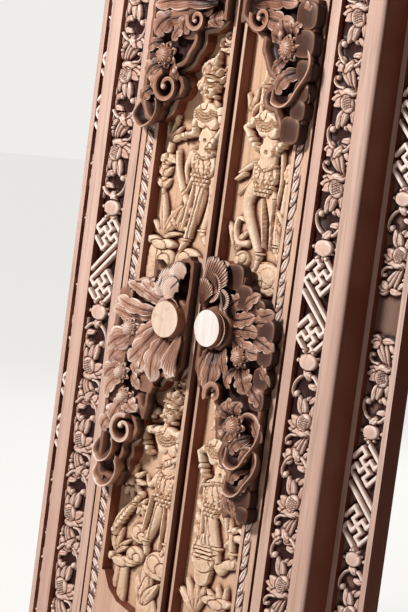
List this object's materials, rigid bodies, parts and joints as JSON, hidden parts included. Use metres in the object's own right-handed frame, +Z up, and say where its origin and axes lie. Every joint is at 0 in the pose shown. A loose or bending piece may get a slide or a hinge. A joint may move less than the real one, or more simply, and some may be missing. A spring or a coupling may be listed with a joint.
{
  "type": "carved temple door",
  "caption": "Two-leaf carved wooden temple door in its stepped, carved frame, with figure panels, applied foliage and round bosses; both leaves open inwards on wooden pivots.",
  "frame": {"origin": "centre of the sill's underside", "axes": "+Z up, +X to the right as seen from the front, +Y from the carved front towards the wall and the room behind"},
  "size_m": [1.39, 0.23, 2.534],
  "materials": {
    "frame_wood": "raw planed hardwood, straight vertical grain",
    "moulding_wood": "raw planed hardwood, weathered greyer",
    "carved_wood": "raw carved hardwood",
    "leaf_wood": "raw planed and carved hardwood",
    "panel_wood": "raw carved pale hardwood",
    "foliage_wood": "raw carved hardwood, sawn sides",
    "boss_wood": "raw turned hardwood, smooth face",
    "pin_wood": "raw turned hardwood"
  },
  "bodies": {
    "frame": {"sill": "frame_wood", "head": "frame_wood", "left_jamb": "frame_wood", "right_jamb": "frame_wood", "left_jamb_carving": "carved_wood", "right_jamb_carving": "carved_wood", "left_edge_moulding": "moulding_wood", "right_edge_moulding": "moulding_wood", "head_edge_moulding": "moulding_wood", "left_architrave": "moulding_wood", "right_architrave": "moulding_wood", "head_architrave": "moulding_wood", "left_architrave_carving": "carved_wood", "right_architrave_carving": "carved_wood", "frame_pegs": "pin_wood"},
    "left_leaf": {"left_leaf": "leaf_wood", "left_upper_figure_panel": "panel_wood", "left_lower_figure_panel": "panel_wood", "left_centre_foliage": "foliage_wood", "left_top_foliage": "foliage_wood", "left_boss": "boss_wood", "left_top_pivot": "pin_wood", "left_bottom_pivot": "pin_wood"},
    "right_leaf": {"right_leaf": "leaf_wood", "right_upper_figure_panel": "panel_wood", "right_lower_figure_panel": "panel_wood", "right_centre_foliage": "foliage_wood", "right_top_foliage": "foliage_wood", "right_boss": "boss_wood", "right_top_pivot": "pin_wood", "right_bottom_pivot": "pin_wood"}
  },
  "joints": [
    {"name": "left_swing", "type": "hinge", "parent": "frame", "child": "left_leaf", "pos_m": [-0.332, -0.015, 0.1], "axis": [0, 0, 1], "range_deg": [0, 90]},
    {"name": "right_swing", "type": "hinge", "parent": "frame", "child": "right_leaf", "pos_m": [0.332, -0.015, 0.1], "axis": [0, 0, 1], "range_deg": [-86, 4]}
  ]
}
